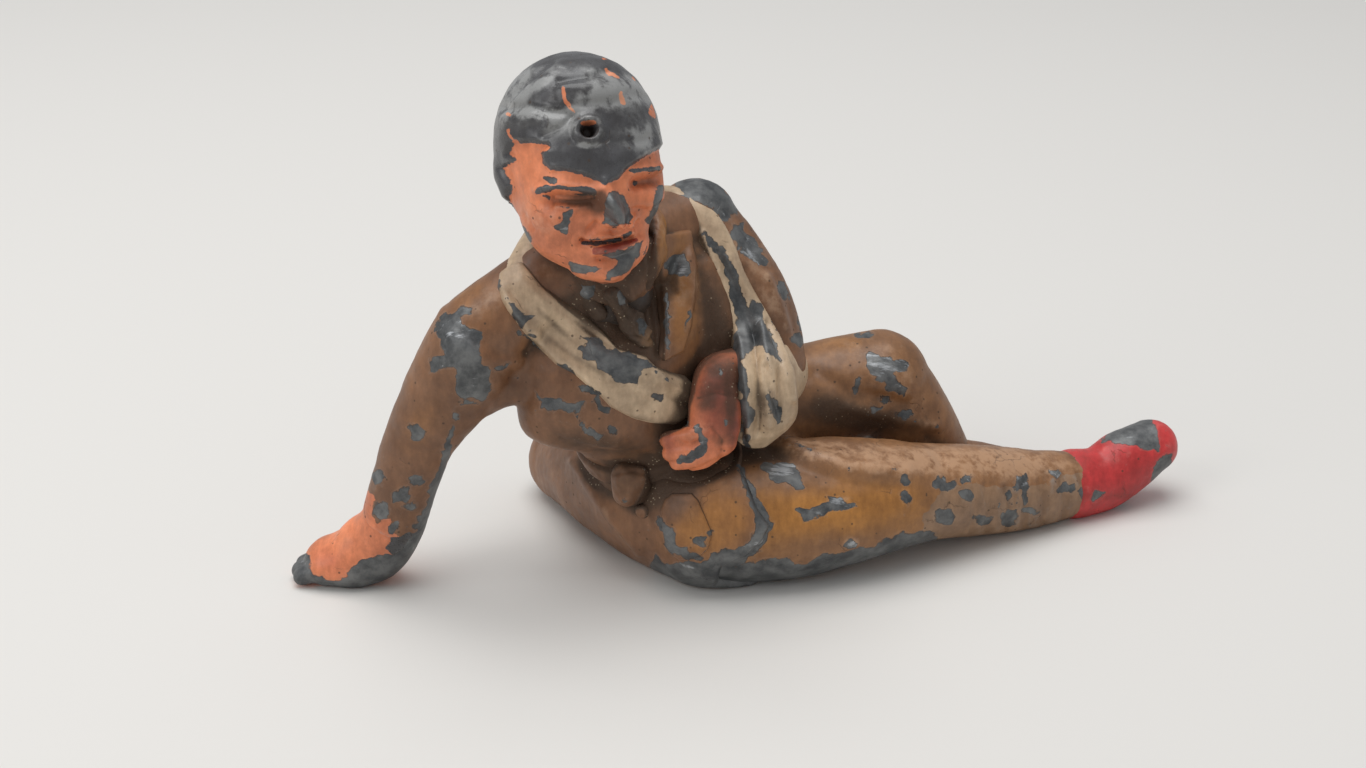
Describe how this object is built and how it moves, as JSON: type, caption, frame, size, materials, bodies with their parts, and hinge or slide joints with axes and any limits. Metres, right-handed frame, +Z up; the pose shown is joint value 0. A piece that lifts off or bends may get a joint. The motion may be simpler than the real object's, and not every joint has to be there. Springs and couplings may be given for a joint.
{
  "type": "toy soldier figure",
  "caption": "Painted hollow-cast toy soldier seated on the ground, propped on one arm, the other arm in a sling, one knee raised.",
  "frame": {"origin": "centre of the flat resting disc under the seat, on the ground plane", "axes": "+X towards the boots along the figure's length, +Y to the figure's left rear, away from the viewer, +Z up"},
  "size_m": [0.0566, 0.0213, 0.0331],
  "materials": {
    "flesh_paint": "worn enamel",
    "hair_paint": "worn enamel",
    "tunic_paint": "worn enamel",
    "dark_paint": "worn enamel",
    "breeches_paint": "worn enamel",
    "sling_paint": "worn enamel",
    "boot_paint": "worn enamel",
    "bare_casting": "bare dark lead alloy"
  },
  "bodies": {
    "root": {"head": "flesh_paint", "hair": "hair_paint", "collar": "dark_paint", "tie": "dark_paint", "tunic_body": "tunic_paint", "tunic_lapel": "breeches_paint", "right_sleeve": "tunic_paint", "right_hand": "flesh_paint", "left_sleeve": "tunic_paint", "left_hand": "flesh_paint", "sling_strap_right": "sling_paint", "sling_strap_left": "sling_paint", "sling_cradle": "sling_paint", "belt": "dark_paint", "belt_pouch": "dark_paint", "tunic_button": "bare_casting", "tunic_skirt": "tunic_paint", "tunic_pocket": "tunic_paint", "breeches_seat": "breeches_paint", "right_thigh": "breeches_paint", "left_thigh": "breeches_paint", "right_puttee": "tunic_paint", "left_puttee": "tunic_paint", "right_boot": "boot_paint", "left_boot": "boot_paint", "rest_disc": "bare_casting"}
  },
  "joints": []
}
